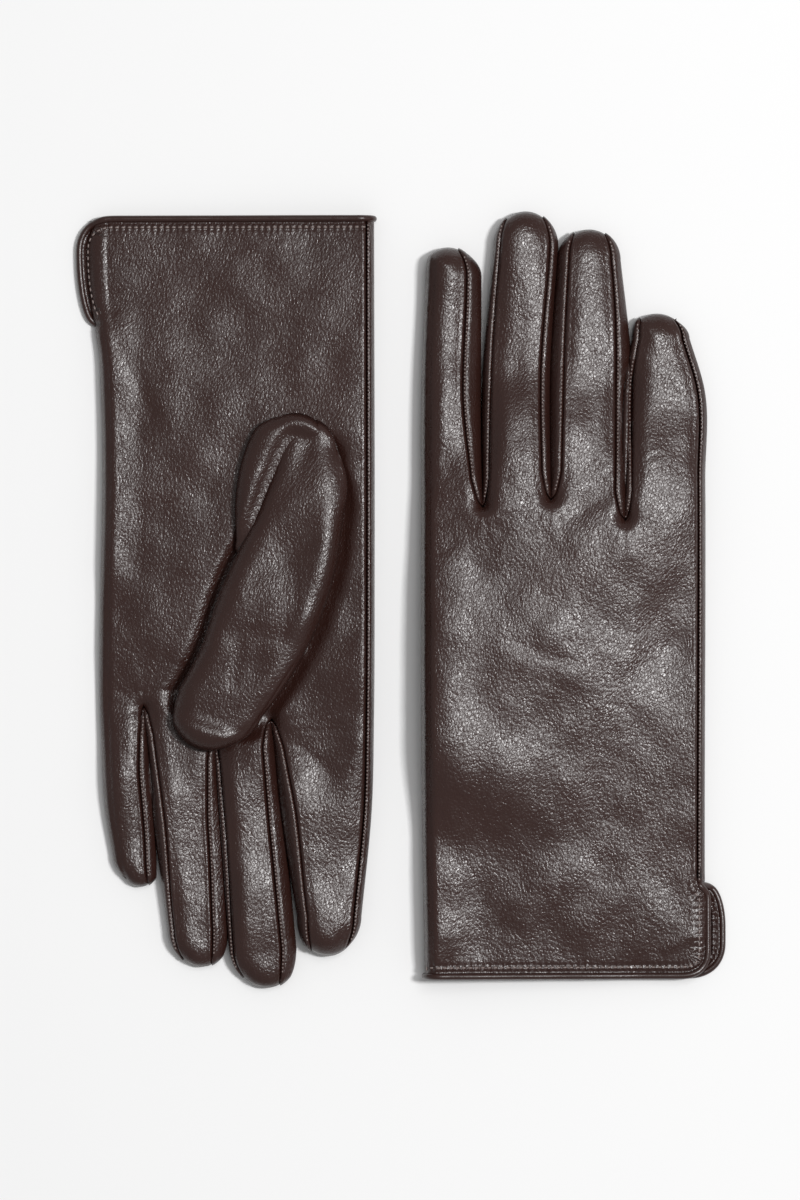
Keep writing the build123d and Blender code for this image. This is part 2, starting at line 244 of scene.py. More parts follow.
def outline_of(glove):
    """The whole outline as short segments: outer sides, finger sides above the crotches and tips."""
    segments = []
    for number in range(FINGERS):
        rows = finger_rows(glove, number)
        for side in (0, 1):
            line = on_plan(rows, np.full((len(rows[0]), 1), 2.0 * side - 1))[:, 0]
            if not outer(number, side):
                crotch = glove.crotches[number - 1 + side]
                line = np.vstack([[crotch], line[rows[0] > crotch[1]]])
            segments.append(line)
        segments.append(on_plan(rows, np.linspace(-1, 1, 41)[None, :])[-1])
    starts = np.vstack([line[:-1] for line in segments])
    ends = np.vstack([line[1:] for line in segments])
    return starts, ends


def distance_to(points, outline):
    """Each point's distance to the nearest of a set of segments."""
    starts, ends = outline
    along = ends - starts
    length2 = np.maximum((along**2).sum(1), 1e-9)
    flat = points.reshape(-1, 2)
    out = np.empty(len(flat))
    batch = 4000
    for k in range(0, len(flat), batch):
        gap = flat[k:k + batch, None, :] - starts[None]
        t = np.clip((gap * along).sum(2) / length2, 0, 1)
        out[k:k + batch] = np.sqrt(((gap - t[..., None] * along) ** 2).sum(2).min(1))
    return out.reshape(points.shape[:-1])


def waves(points, seed, length, count=14):
    """Soft undulation between about -1 and 1, with hollows about one length apart."""
    draw = np.random.default_rng(seed)
    out = np.zeros(points.shape[:-1])
    for _ in range(count):
        angle = draw.uniform(0, math.tau)
        pitch = math.tau / (length * draw.uniform(0.7, 1.6))
        phase = draw.uniform(0, math.tau)
        out += np.sin(pitch * (points[..., 0] * math.cos(angle) + points[..., 1] * math.sin(angle)) + phase)
    return out / math.sqrt(count)


def crease(points, start, end, width, depth):
    """A straight fold from start to end: positive depth is a valley, negative a ridge."""
    start = np.array(start, float)
    along = np.array(end, float) - start
    gap = points - start
    t = (gap @ along) / (along @ along)
    across = np.abs(gap[..., 0] * along[1] - gap[..., 1] * along[0]) / np.linalg.norm(along)
    ends = ease((t + 0.15) / 0.3) * ease((1.15 - t) / 0.3)
    return -depth * np.exp(-((across / width) ** 2)) * ends


# The thumb lies over the palm, leaning towards the little finger. Its own lines run across (u) and
# along (v) this lean, from a point near its middle. The palm is pressed in under it.
THUMB_MIDDLE = np.array([-10.0, 120.0])
THUMB_ALONG = np.array([0.345, 0.939])
THUMB_ACROSS = np.array([0.939, -0.345])
THUMB_SIDES = [[(-1.0, -50), (-11.4, -40), (-18.4, -21), (-21.4, 6), (-18.6, 29), (-12.8, 49)],
               [(8.6, -50), (9.8, -42), (10.3, -31), (10.7, -17), (12.2, -4), (13.2, 8), (12.9, 30),
                (15.4, 49)]]
PRESS_ROUNDING = 4.0


def outside_thumb(points):
    """How far a plan point lies outside the thumb's outline, 0 under the thumb."""
    gap = points - THUMB_MIDDLE
    u, v = gap @ THUMB_ACROSS, gap @ THUMB_ALONG
    middle_v = np.clip(v, -44, 46)
    left = through(THUMB_SIDES[0], middle_v) + PRESS_ROUNDING
    right = through(THUMB_SIDES[1], middle_v) - PRESS_ROUNDING
    du = np.maximum(np.maximum(left - u, u - right), 0)
    return np.maximum(np.hypot(du, v - middle_v) - PRESS_ROUNDING, 0)


# How thick the glove lies at each distance from its cuff, with its edges half way down.
THICK = [(7.6, 0), (8.6, 18), (10.6, 60), (11.2, 120), (11.0, 165), (10.4, 205), (9.6, 245)]
WAIST = 0.40
FLOOR_GAP = 0.25
PALM_GIVES = 2.4
THUMB_RAISE = 6.2


def folds(glove, points):
    """The leather's own relief on the face that shows: soft swells, fine swells and its few creases."""
    x, y = points[..., 0], points[..., 1]
    at_cuff, at_fingers = glove.swells
    swell = at_cuff + (at_fingers - at_cuff) * ease((y - 120) / 40)
    relief = (swell * waves(points, glove.seed, 44) + 0.15 * waves(points, glove.seed + 1, 17)
              + 0.030 * waves(points, glove.seed + 2, 5))

    # Small folds that run out from each crotch like rays
    for crotch_x, crotch_y in glove.crotches:
        away = np.hypot(x - crotch_x, y - crotch_y)
        ray = np.arctan2(y - crotch_y, x - crotch_x)
        relief += (0.16 * np.sin(13 * ray + crotch_x) * (away / 4) * np.exp(-away / 4)
                   * ease((crotch_y + 3 - y) / 4))

    # A long soft roll beside the seam: the little finger side of the palm, the index side of the back
    if glove.turned:
        relief += 1.7 * ease((x - 31) / 12.5) * ease((y - 26) / 14) * ease((132 - y) / 20)
    else:
        relief += (1 - ease((x + 43) / 17)) * ease(y / 15)
    for start, end, width, depth in glove.creases:
        relief += crease(points, start, end, width, depth)
    return relief


def roll_of(glove, y, across, width):
    """Each finger lies rolled over a little, so its upper face is higher on one side."""
    above = y - max(crotch[1] for crotch in glove.crotches)
    return glove.finger_roll * across * width * ease(above / 22)


def height(glove, points, reach_in, face, roll=0.0):
    """The glove's surface above the floor, on its upper or lower face, reach_in from its outline."""
    x, y = points[..., 0], points[..., 1]
    thick = through(THICK, y)
    radius = EDGE_RADIUS - 1.0 + glove.finger_rounding * ease((y - 150) / 40)
    round_up = np.sqrt(np.maximum(1 - (1 - np.clip(reach_in / radius, 0, 1)) ** 2, 0))
    near_thumb = outside_thumb(points)
    if glove.turned:
        raised = 0.0
        thick = thick - PALM_GIVES * (1 - ease(near_thumb / 5.0)) - 0.058 * (x + 20)
    else:
        # This glove lies on its own thumb, which lifts it
        raised = THUMB_RAISE * (1 - ease((near_thumb - 1.0) / 34.0))
        lean = 0.034 + 0.032 * (1 - ease((y - 30) / 40))
        thick = thick - (1 - ease(near_thumb / 24.0)) - lean * (x - 10)
    waist = WAIST * thick
    top = waist + (thick - waist + roll + folds(glove, points)) * round_up
    bottom = waist - (waist - FLOOR_GAP) * round_up**0.8
    return raised + np.where(face > 0, top, bottom)


# The leather's finish: two close browns, a fine pebbled grain drawn out a little one way, and a soft
# sheen. Between its stitches the hem puckers.
STITCH_PITCH = 2.1
DARK_BROWN = (0.0225, 0.0080, 0.0058, 1)
WORN_BROWN = (0.0330, 0.0125, 0.0096, 1)


def node(tree, kind, inputs=None, **settings):
    """A shader node with its settings, and its inputs set or linked."""
    made = tree.nodes.new(kind)
    for key, value in settings.items():
        setattr(made, key, value)
    for key, value in (inputs or {}).items():
        if isinstance(value, bpy.types.NodeSocket):
            tree.links.new(value, made.inputs[key])
        else:
            made.inputs[key].default_value = value
    return made


def mixed(tree, factor, dark, light):
    """A colour between two, by a factor. A Mix node's two colours are its inputs 6 and 7, its result 2."""
    return node(tree, "ShaderNodeMix", {"Factor": factor, 6: dark, 7: light}, data_type="RGBA").outputs[2]


def dyed(name, roughness, grain_size, grain_depth, pucker=0.0):
    """A leather finish: two close browns, pebbled grain of one size, and a worn-smooth sheen."""
    finish = bpy.data.materials.new(name)
    finish.use_nodes = True
    tree = finish.node_tree
    shader = tree.nodes["Principled BSDF"]
    place = node(tree, "ShaderNodeTexCoord").outputs["Object"]
    blotch = node(tree, "ShaderNodeTexNoise", {"Vector": place, "Scale": 38.0, "Detail": 3.0})
    fine = node(tree, "ShaderNodeTexNoise", {"Vector": place, "Scale": 900.0, "Detail": 2.0})
    bend = node(tree, "ShaderNodeVectorMath", {0: fine.outputs["Color"], "Scale": 0.0006}, operation="SCALE")
    drawn = node(tree, "ShaderNodeMapping",
                 {"Vector": place, "Rotation": (0, 0, -0.4), "Scale": (0.86, 1.28, 1)},
                 vector_type="TEXTURE")
    bent = node(tree, "ShaderNodeVectorMath", {0: drawn.outputs[0], 1: bend.outputs[0]}, operation="ADD")
    pebbles = node(tree, "ShaderNodeTexVoronoi",
                   {"Vector": bent.outputs[0], "Scale": 1.0 / grain_size, "Smoothness": 0.35},
                   feature="SMOOTH_F1")
    cracks = node(tree, "ShaderNodeTexVoronoi", {"Vector": bent.outputs[0], "Scale": 0.8 / grain_size},
                  feature="DISTANCE_TO_EDGE")
    valley = node(tree, "ShaderNodeMapRange", {"Value": cracks.outputs["Distance"], "From Max": 0.16})
    wrinkle = node(tree, "ShaderNodeTexNoise", {"Vector": drawn.outputs[0], "Scale": 260.0, "Detail": 5.0,
                                                "Roughness": 0.62, "Distortion": 0.6})
    tree.links.new(mixed(tree, blotch.outputs["Fac"], DARK_BROWN, WORN_BROWN), shader.inputs["Base Color"])
    gloss = node(tree, "ShaderNodeMapRange", {"Value": wrinkle.outputs["Fac"],
                                              "From Min": 0.3, "From Max": 0.7,
                                              "To Min": roughness - 0.05, "To Max": roughness + 0.07})
    tree.links.new(gloss.outputs["Result"], shader.inputs["Roughness"])
    bump = node(tree, "ShaderNodeBump", {"Height": pebbles.outputs["Distance"], "Strength": 1.0,
                                         "Distance": grain_depth}, invert=True)
    bump = node(tree, "ShaderNodeBump", {"Height": valley.outputs["Result"], "Strength": 0.5,
                                         "Distance": grain_depth * 0.7, "Normal": bump.outputs[0]})
    bump = node(tree, "ShaderNodeBump", {"Height": wrinkle.outputs["Fac"], "Strength": 1.0,
                                         "Distance": 0.000095, "Normal": bump.outputs[0]})
    if pucker:
        edge = node(tree, "ShaderNodeAttribute", attribute_name="edge_gap").outputs["Fac"]
        run = node(tree, "ShaderNodeAttribute", attribute_name="edge_run").outputs["Fac"]
        beat = node(tree, "ShaderNodeMath", {0: run, 1: math.tau / STITCH_PITCH}, operation="MULTIPLY")
        tuck = node(tree, "ShaderNodeMath", {0: beat.outputs[0]}, operation="SINE").outputs[0]
        start = node(tree, "ShaderNodeMapRange", {"Value": edge, "From Min": 1.6, "From Max": 2.6},
                     interpolation_type="SMOOTHSTEP").outputs["Result"]
        fade = node(tree, "ShaderNodeMapRange", {"Value": edge, "From Min": 2.2, "From Max": 6.5,
                                                 "To Min": 1.0, "To Max": 0.0},
                    interpolation_type="SMOOTHSTEP").outputs["Result"]
        held = tuck
        for part in (start, blotch.outputs["Fac"], fade):
            held = node(tree, "ShaderNodeMath", {0: held, 1: part}, operation="MULTIPLY").outputs[0]
        bump = node(tree, "ShaderNodeBump", {"Height": held, "Strength": 1.0, "Distance": pucker,
                                             "Normal": bump.outputs[0]})
    tree.links.new(bump.outputs[0], shader.inputs["Normal"])
    return finish


leather = dyed("brown_nappa", 0.28, 0.00084, 0.000090, pucker=0.00020)

LEATHER = 0.7
STRIP_COLUMNS = 22
WRAP_COLUMNS = 15
FLAP_ROOT = 46.0
FLAP_REACH = 52.6
BACK_REACH = 47.6
GROOVE = 1.0


def spread(count):
    """Places from 0 to 1, closer together at both ends."""
    t = np.linspace(0, 1, count + 1)
    return t - 0.55 * np.sin(math.tau * t) / math.tau


def groove(gap, weight):
    """How far the leather turns down into a sewn seam, and rolls up beside it."""
    return weight * (-GROOVE * np.exp(-((gap / 0.34) ** 2)) + 0.30 * np.exp(-(((gap - 0.95) / 0.5) ** 2)))


def tip_fade(tip):
    """A seam's groove runs out towards the end of the fingertip."""
    return 1 - ease((tip - 0.7) / 0.3)


def round_corner(points, corner_x, radius):
    """Plan points by the vent's corner of the cuff, moved so that the square corner turns round."""
    a = np.clip((points[..., 0] - (corner_x - radius)) / radius, 0, None)
    b = np.clip((radius - points[..., 1]) / radius, 0, 1)
    inside = (a > 0) & (b > 0)
    a1 = np.minimum(a, 1)
    x = points[..., 0] - np.where(inside, radius * a1 * (1 - np.sqrt(1 - b**2 / 2)), 0)
    y = points[..., 1] + np.where(inside, radius * b * (1 - np.sqrt(1 - a1**2 / 2)), 0)
    return np.stack([x, y], axis=-1)


def open_vent(glove, rows, plan, z, face, palm, wraps):
    """Moves the little finger strip's edge below the vent's top: the palm's lies out flat as a flap."""
    y = rows[0][:, None]
    if palm:
        run = (y - glove.flap_widest) / (glove.vent_top - glove.flap_widest)
        outer_x = FLAP_ROOT + (FLAP_REACH - FLAP_ROOT) * np.sqrt(np.clip(1 - np.maximum(run, 0) ** 2, 0, 1))
        free = ease((glove.vent_top - y) / 2.0)
        shoulder_x = rows[3][:, None] - 5.4
        edge_z = 2.0 if face > 0 else 0.7
    else:
        outer_x = np.full_like(y, BACK_REACH)
        free = ease((glove.vent_top - y) / 4.0)
        shoulder_x = 42.0
        edge_z = 4.6 if face > 0 else 0.35
    if wraps:
        count, inner_x = WRAP_COLUMNS, plan[:, -WRAP_COLUMNS - 1:-WRAP_COLUMNS, 0]
        t = np.linspace(0, 1, count + 1)[None, 1:]
    else:
        count, inner_x = STRIP_COLUMNS + 1, plan[:, :1, 0]
        t = spread(STRIP_COLUMNS)[None, :]
    flat_x = inner_x + (outer_x - inner_x) * t
    edge_t = np.clip((flat_x - shoulder_x) / 5.6, 0, 1)
    inner_points = np.stack([np.minimum(flat_x, 40.0), plan[:, -count:, 1]], -1)
    inner_z = height(glove, inner_points, np.full(flat_x.shape, 7.0), np.full(flat_x.shape, float(face)))
    drop = 1 - np.sqrt(1 - edge_t**2) if face > 0 else edge_t
    flat_z = inner_z + (edge_z - inner_z) * drop
    plan[:, -count:, 0] += free * (flat_x - plan[:, -count:, 0])
    z[:, -count:] += free * (flat_z - z[:, -count:])


def panel_strip(glove, number, face, wrap_side, outline):
    """The points of one finger's strip of a panel, from the cuff to the fingertip."""
    rows = finger_rows(glove, number)
    y, tip = rows[0][:, None], rows[1][:, None]
    width = half_width(rows)
    palm = (face > 0) == glove.turned
    wraps = outer(number, wrap_side)
    gaps = []
    for side in (0, 1):
        if outer(number, side):
            gaps.append(np.full_like(y, EDGE_RADIUS if side == wrap_side else SIDE_SEAM_INSET))
        else:
            gaps.append(seam_line(glove, rows, number, side)[:, None])
    across = (-1 + gaps[0] / width) + (2 - (gaps[0] + gaps[1]) / width) * spread(STRIP_COLUMNS)[None, :]
    faces = np.full(across.shape, float(face))

    # The columns that come round the outer side, on to the other face as far as the side seam
    if wraps:
        turn = np.linspace(0, 1, WRAP_COLUMNS + 1)[None, 1:]
        last = np.arccos(1 - SIDE_SEAM_INSET / EDGE_RADIUS)
        angle = math.pi / 2 - turn * (math.pi / 2 + last)
        inset = EDGE_RADIUS * (1 - np.cos(angle)) * np.ones_like(y)
        extra = (2 * wrap_side - 1) * (1 - inset / width)
        extra_faces = np.where(angle >= 0, face, -face) * np.ones_like(extra)
        if wrap_side == 0:
            across = np.hstack([extra[:, ::-1], across])
            faces = np.hstack([extra_faces[:, ::-1], faces])
        else:
            across = np.hstack([across, extra])
            faces = np.hstack([faces, extra_faces])
    plan = on_plan(rows, across)
    reach_in = distance_to(plan, outline)
    for side in (0, 1):
        if outer(number, side):
            reach_in = np.where(across * (2 * side - 1) >= 1 - 1e-6, 0, reach_in)
    z = height(glove, plan, reach_in, faces, roll_of(glove, y, across, width))

    # Grooves at this strip's own two edges
    for side in (0, 1):
        edge = across[:, :1] if side == 0 else across[:, -1:]
        gap = np.abs(across - edge) * width
        if outer(number, side):
            sewn = np.ones_like(y) if side == 0 else ease((y - glove.vent_top) / 3)
            if wraps:
                column = np.arange(across.shape[1])[None, :]
                from_seam = column if side == 0 else across.shape[1] - 1 - column
                sewn = sewn * (from_seam < WRAP_COLUMNS)
        else:
            sewn = ease((y - glove.crotches[number - 1 + side][1]) / 3.0)
        z = z + np.where(faces > 0, 1, -1) * groove(gap, sewn * tip_fade(tip))
    if number == FINGERS - 1:
        open_vent(glove, rows, plan, z, face, palm, wraps)
    plan = round_corner(plan, FLAP_REACH, 10.5) if palm else round_corner(plan, BACK_REACH, 8.0)
    return np.dstack([plan, z])


def grid_piece(points, name, upward=True):
    """A grid of faces whose points are moved to the given places, its outer side facing up or down."""
    rows, columns = points.shape[:2]
    bpy.ops.mesh.primitive_grid_add(x_subdivisions=columns - 1, y_subdivisions=rows - 1, size=1)
    piece = bpy.context.object
    piece.name = name
    piece.data.vertices.foreach_set("co", points.reshape(-1).astype(np.float32))
    if not upward:
        bpy.ops.object.mode_set(mode="EDIT")
        bpy.ops.mesh.select_all(action="SELECT")
        bpy.ops.mesh.flip_normals()
        bpy.ops.object.mode_set(mode="OBJECT")
    piece.data.update()
    return piece


def joined(pieces, name, merge=0.00002):
    """Pieces sewn into one: joined, and their shared borders merged."""
    bpy.ops.object.select_all(action="DESELECT")
    for piece in pieces:
        piece.select_set(True)
    bpy.context.view_layer.objects.active = pieces[0]
    if len(pieces) > 1:
        bpy.ops.object.join()
    whole = bpy.context.object
    whole.name = name
    whole.data.name = name
    bpy.ops.object.mode_set(mode="EDIT")
    bpy.ops.mesh.select_all(action="SELECT")
    bpy.ops.mesh.remove_doubles(threshold=merge)
    bpy.ops.object.mode_set(mode="OBJECT")
    bpy.ops.object.shade_smooth()
    return whole


def thickened(piece, thickness):
    """Gives a sheet its thickness on the inner side."""
    wall = piece.modifiers.new("thickness", "SOLIDIFY")
    wall.thickness = thickness * MM
    wall.offset = -1
    wall.use_even_offset = False
    bpy.context.view_layer.objects.active = piece
    bpy.ops.object.modifier_apply(modifier=wall.name)
    return piece


def finished(piece, finish):
    """Gives a piece its finish."""
    piece.data.materials.clear()
    piece.data.materials.append(finish)
    bpy.ops.object.select_all(action="DESELECT")


def mark_edge(piece, glove, path, lengths):
    """Stores how far each point lies from the bound edge, and how far along it, and presses the hem in."""
    co = np.empty(len(piece.data.vertices) * 3, np.float32)
    piece.data.vertices.foreach_get("co", co)
    co = co.reshape(-1, 3)
    near = np.abs(co[:, 1] - glove.cuff) < 45 * MM
    gap = np.full(len(co), 99.0, np.float32)
    run = np.zeros(len(co), np.float32)
    picked = np.where(near)[0]
    for k in range(0, len(picked), 2000):
        part = picked[k:k + 2000]
        away = np.linalg.norm(co[part, None, :] - path[None], axis=2)
        nearest = away.argmin(1)
        gap[part] = away[np.arange(len(part)), nearest] / MM
        run[part] = lengths[nearest] / MM
    for name, values in (("edge_gap", gap), ("edge_run", run)):
        piece.data.attributes.new(name, "FLOAT", "POINT").data.foreach_set("value", values)
    outward = 1 if piece.name.endswith("palm") == glove.turned else -1
    co[:, 2] += outward * MM * sum(rise * np.exp(-(((gap - place) / width) ** 2)) for rise, place, width in
                                   ((-0.55, 1.5, 0.45), (0.18, 2.5, 0.5), (-0.25, 3.6, 0.6)))
    piece.data.vertices.foreach_set("co", co.reshape(-1))
    piece.data.update()


def bend_with_fingers(piece):
    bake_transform(piece)


panels = {}
for glove in (LEFT, RIGHT):
    outline = outline_of(glove)
    for face in (1, -1):
        kind = "palm" if (face > 0) == glove.turned else "back"
        wrap_side = 1 if kind == "palm" else 0
        panels[glove.name, kind] = [panel_strip(glove, number, face, wrap_side, outline)
                                    for number in range(FINGERS)]

bound_edges = {}
for glove in (LEFT, RIGHT):
    # The bound edge runs round the cuff and both sides of the vent, as one closed line
    back = panels[glove.name, "back"]
    palm = panels[glove.name, "palm"]
    below = (HAND_ROWS < glove.vent_top).sum()
    back_edge = back[-1][:below, -1]
    back_cuff = np.vstack([strip[0][::-1] for strip in back[::-1]])
    palm_cuff = np.vstack([strip[0] for strip in palm])
    palm_edge = palm[-1][:below, -1]
    line = np.vstack([back_edge[::-1], back_cuff[1:], palm_cuff, palm_edge[1:]])
    keep = np.concatenate([[True], np.linalg.norm(np.diff(line, axis=0), axis=1) > 0.25])
    bound_edges[glove.name] = line[keep]

sheets = {}
for glove in (LEFT, RIGHT):
    path = glove.laid(bound_edges[glove.name])
    lengths = np.concatenate([[0], np.cumsum(np.linalg.norm(np.diff(path, axis=0), axis=1))])
    for kind in ("palm", "back"):
        upper = (kind == "palm") == glove.turned
        strips = [grid_piece(glove.laid(strip), f"{glove.name}_{kind}_strip", upper)
                  for strip in panels[glove.name, kind]]
        panel = thickened(joined(strips, f"{glove.name}_{kind}"), LEATHER)
        mark_edge(panel, glove, path, lengths)
        finished(panel, leather)
        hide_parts(f"{glove.name}_{kind}_panel", f"{glove.name}_{kind}_fingers")
        bend_with_fingers(panel)
        sheets[glove.name, kind] = panel


# ---------------------------------------------------------------------------------------------
# Fourchettes: the narrow side strips between two fingers, of the same leather. Each runs from one
# fingertip down to the crotch, turns there, and runs up the next finger, seamed to both panels.
# ---------------------------------------------------------------------------------------------
SIDE_COLUMNS = 16
SIDE_LEATHER = LEATHER * 0.8
thumb_leather = dyed("brown_nappa_thumb", 0.28, 0.00084, 0.000090)


def fourchette_side(glove, number, side, outline):
    """The points of the strip along one side of one finger, from the crotch to the tip."""
    rows = finger_rows(glove, number)
    crotch = glove.crotches[number - 1 + side]
    seam = seam_line(glove, rows, number, side)
    keep = rows[0] > crotch[1]
    rows = tuple(part[keep] if isinstance(part, np.ndarray) else part for part in rows)
    seam = seam[keep][:, None]
    y, tip = rows[0][:, None], rows[1][:, None]
    width = half_width(rows)
    angle = np.arccos(np.clip(1 - seam / EDGE_RADIUS, -1, 1)) * np.linspace(1, -1, SIDE_COLUMNS + 1)[None, :]
    inset = EDGE_RADIUS * (1 - np.cos(angle))
    across = (2 * side - 1) * (1 - inset / width)
    faces = np.where(angle >= 0, 1.0, -1.0)
    plan = on_plan(rows, across)
    reach_in = np.where(np.abs(across) >= 1 - 1e-6, 0, distance_to(plan, outline))
    z = height(glove, plan, reach_in, faces, roll_of(glove, y, across, width))
    z = z + faces * groove(np.abs(inset - seam), ease((y - crotch[1]) / 3.0) * tip_fade(tip))
    points = np.dstack([plan, z])
    root = np.empty((1, points.shape[1], 3))
    root[0, :, :2] = crotch
    root[0, :, 2] = points[0, :, 2]
    return np.vstack([root, points])


fourchettes = {"left": [], "right": []}
for glove in (LEFT, RIGHT):
    outline = outline_of(glove)
    for number, between in enumerate(("index_middle", "middle_ring", "ring_little")):
        before = fourchette_side(glove, number, 1, outline)
        after = fourchette_side(glove, number + 1, 0, outline)
        after[0] = (before[0] + after[0]) / 2
        before[0] = after[0]
        sides = [grid_piece(glove.laid(before), "side_before", False),
                 grid_piece(glove.laid(after), "side_after", True)]
        strip = joined(sides, f"{glove.name}_fourchette_{between}_strip")
        thickened(strip, SIDE_LEATHER)
        finished(strip, thumb_leather)
        nodes = [f"{glove.name}_fourchette_{between}"]
        if between == "middle_ring":
            nodes.append(f"{glove.name}_fourchette_roots")
        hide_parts(*nodes)
        bend_with_fingers(strip)
        fourchettes[glove.name].append(strip)


# ---------------------------------------------------------------------------------------------
# Thumbs: a leather stall of its own, sewn to the palm round an oval at its root and folded over the
# palm, with a crescent gusset let in beside it. The right glove lies on its thumb, pressed flatter.
# ---------------------------------------------------------------------------------------------
THUMB_ROWS = 90
THUMB_COLUMNS = 56
THUMB_RADIUS = 7.5
THUMB_SEAM = [(-19.6, -20), (-21.2, 6), (-17.2, 29), (-11.6, 52)]
THUMB_CREASES = [((-2, 38), (1, 22), 2.4, 0.40), ((-14, 16), (8, 22), 3.4, 0.35),
                 ((-17, -24), (-18, 12), 5.0, -0.7), ((-8, -6), (-14, 10), 0.9, 0.10),
                 ((2, -50), (6, -20), 3.0, 0.4)]
CRESCENT_SIDES = [[(-2.0, -48), (0.0, -30), (3.0, -10), (6.0, 0)],
                  [(20.4, -48), (21.4, -40), (21.2, -33), (18.8, -21), (13.8, -8), (11.0, 0)]]
CAP_START = 0.72


def closed_pillow(side_points, low_v, high_v, end_low, end_high, rows, columns, lean):
    """Plan points of a rounded leaf shape in thumb lines, and each point's distance in from its edge."""
    t = np.linspace(-1, 1, rows + 1)
    bottom = np.clip(-(t + CAP_START) / (1 - CAP_START), 0, 1)
    top = np.clip((t - CAP_START) / (1 - CAP_START), 0, 1)
    v = low_v + (high_v - low_v) * np.clip((t + CAP_START) / (2 * CAP_START), 0, 1)
    left = through(side_points[0], v)[:, None]
    right = through(side_points[1], v)[:, None]
    c = spread(columns)[None, :] * 2 - 1
    cap = (top + bottom)[:, None]
    u = (left + right) / 2 + (right - left) / 2 * c * np.sqrt(1 - cap**2 / 2)
    u = u + lean[0] * bottom[:, None] ** 2 + lean[1] * top[:, None] ** 2
    rise = (end_high * top - end_low * bottom)[:, None]
    along = v[:, None] + rise * np.sqrt(np.maximum(1 - c**2 / 2, 0))
    uv = np.stack([u, along], axis=-1)
    rim = np.vstack([uv[0], uv[1:, -1], uv[-1, -2::-1], uv[-2::-1, 0]])
    gap = distance_to(uv, (rim[:-1], rim[1:]))
    gap[0] = gap[-1] = 0
    gap[:, 0] = gap[:, -1] = 0
    return uv, gap


def thumb_plan_points(uv):
    return THUMB_MIDDLE + uv[..., :1] * THUMB_ACROSS + uv[..., 1:] * THUMB_ALONG


def pillow_piece(glove, name, uv, gap, base, thick, radius, relief, waist=0.42):
    """A closed soft shape from its plan, its height off what it lies on, and its thickness."""
    plan = thumb_plan_points(uv)
    round_up = np.sqrt(np.maximum(1 - (1 - np.clip(gap / radius, 0, 1)) ** 2, 0))
    middle = base + waist * thick
    top = middle + (1 - waist) * thick * round_up + relief * round_up
    bottom = middle - waist * thick * round_up
    halves = [grid_piece(glove.laid(np.dstack([plan, top])), name + "_upper", True),
              grid_piece(glove.laid(np.dstack([plan, bottom])), name + "_lower", False)]
    return joined(halves, name)


def palm_under(glove, uv):
    """The height of the palm's smooth surface under the points of a piece that lies on it."""
    plan, inside = thumb_plan_points(uv), np.full(uv.shape[:2], 9.0)
    return height(glove, plan, inside, np.ones(uv.shape[:2])) - folds(glove, plan)


def bend_with_thumb(piece):
    """Bakes a piece's placement into its points."""
    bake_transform(piece)


thumb_linings = {}
for glove in (LEFT, RIGHT):
    uv, gap = closed_pillow(THUMB_SIDES, -30, 44, 25.0, 17.0, THUMB_ROWS, THUMB_COLUMNS, (5.0, 2.0))
    v = uv[..., 1]
    if glove.turned:
        under = palm_under(glove, uv)
        base = under.mean() * 0.35 + under * 0.65 + 0.1
        thick = through([(5.4, -55), (8.6, -34), (9.8, 0), (9.4, 40), (8.4, 62)], v)
        relief = 0.45 * waves(uv, 31, 34) + 0.12 * waves(uv, 32, 12)
        for start, end, width, depth in THUMB_CREASES:
            relief += crease(uv, start, end, width, depth)
        seam = np.abs(uv[..., 0] - through(THUMB_SEAM, v))
        relief += groove(seam, 0.55 * ease((v - 18) / 10) * ease((62 - v) / 4))
    else:
        base = np.zeros(gap.shape)
        thick = through([(4.6, -55), (5.8, -34), (6.0, 0), (5.8, 40), (5.2, 62)], v)
        relief = 0.10 * waves(uv, 41, 22)
    thumb = pillow_piece(glove, f"{glove.name}_thumb_stall", uv, gap, base, thick, THUMB_RADIUS, relief)
    finished(thumb, thumb_leather)
    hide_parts(f"{glove.name}_thumb", f"{glove.name}_thumb_root")
    bend_with_thumb(thumb)

    # The thumb's lining, a thin stall inside it
    part = slice(4, -4), slice(4, -4)
    inner = pillow_piece(glove, f"{glove.name}_thumb_lining_stall", uv[part], gap[part] - gap[part].min(),
                         base[part] + 1.2, thick[part] - 2.4, THUMB_RADIUS, 0.0)
    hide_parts(f"{glove.name}_thumb_lining")
    thumb_linings[glove.name] = inner
    bend_with_thumb(inner)

    # Gusset: a crescent let in beside the thumb's root, which the thumb half covers
    uv, gap = closed_pillow(CRESCENT_SIDES, -43, -8, 12.4, 5.0, 50, 26, (-3.4, 0.0))
    base = palm_under(glove, uv) - 0.6 if glove.turned else np.full(gap.shape, 0.6)
    thick = np.full(gap.shape, 6.6 if glove.turned else 4.2)
    gusset = pillow_piece(glove, f"{glove.name}_thumb_crescent", uv, gap, base, thick, 6.0,
                          0.1 * waves(uv, 51, 14))
    finished(gusset, thumb_leather)
    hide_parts(f"{glove.name}_thumb_gusset")
    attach(gusset, f"{glove.name}_hand")


# ---------------------------------------------------------------------------------------------
# Cuff binding: a narrow strip of the same leather rolled over the cuff edge and both edges of the
# vent in one run, sewn down by the hem stitches.
# ---------------------------------------------------------------------------------------------
BINDING_RADIUS = 1.1
BINDING_SIDES = 10
rolled_leather = dyed("brown_nappa_rolled", 0.29, 0.0005, 0.00002)


def smoothed(line, passes):
    """A closed line with its corners worn round."""
    for _ in range(passes):
        line = (np.roll(line, 1, 0) + 2 * line + np.roll(line, -1, 0)) / 4
    return line


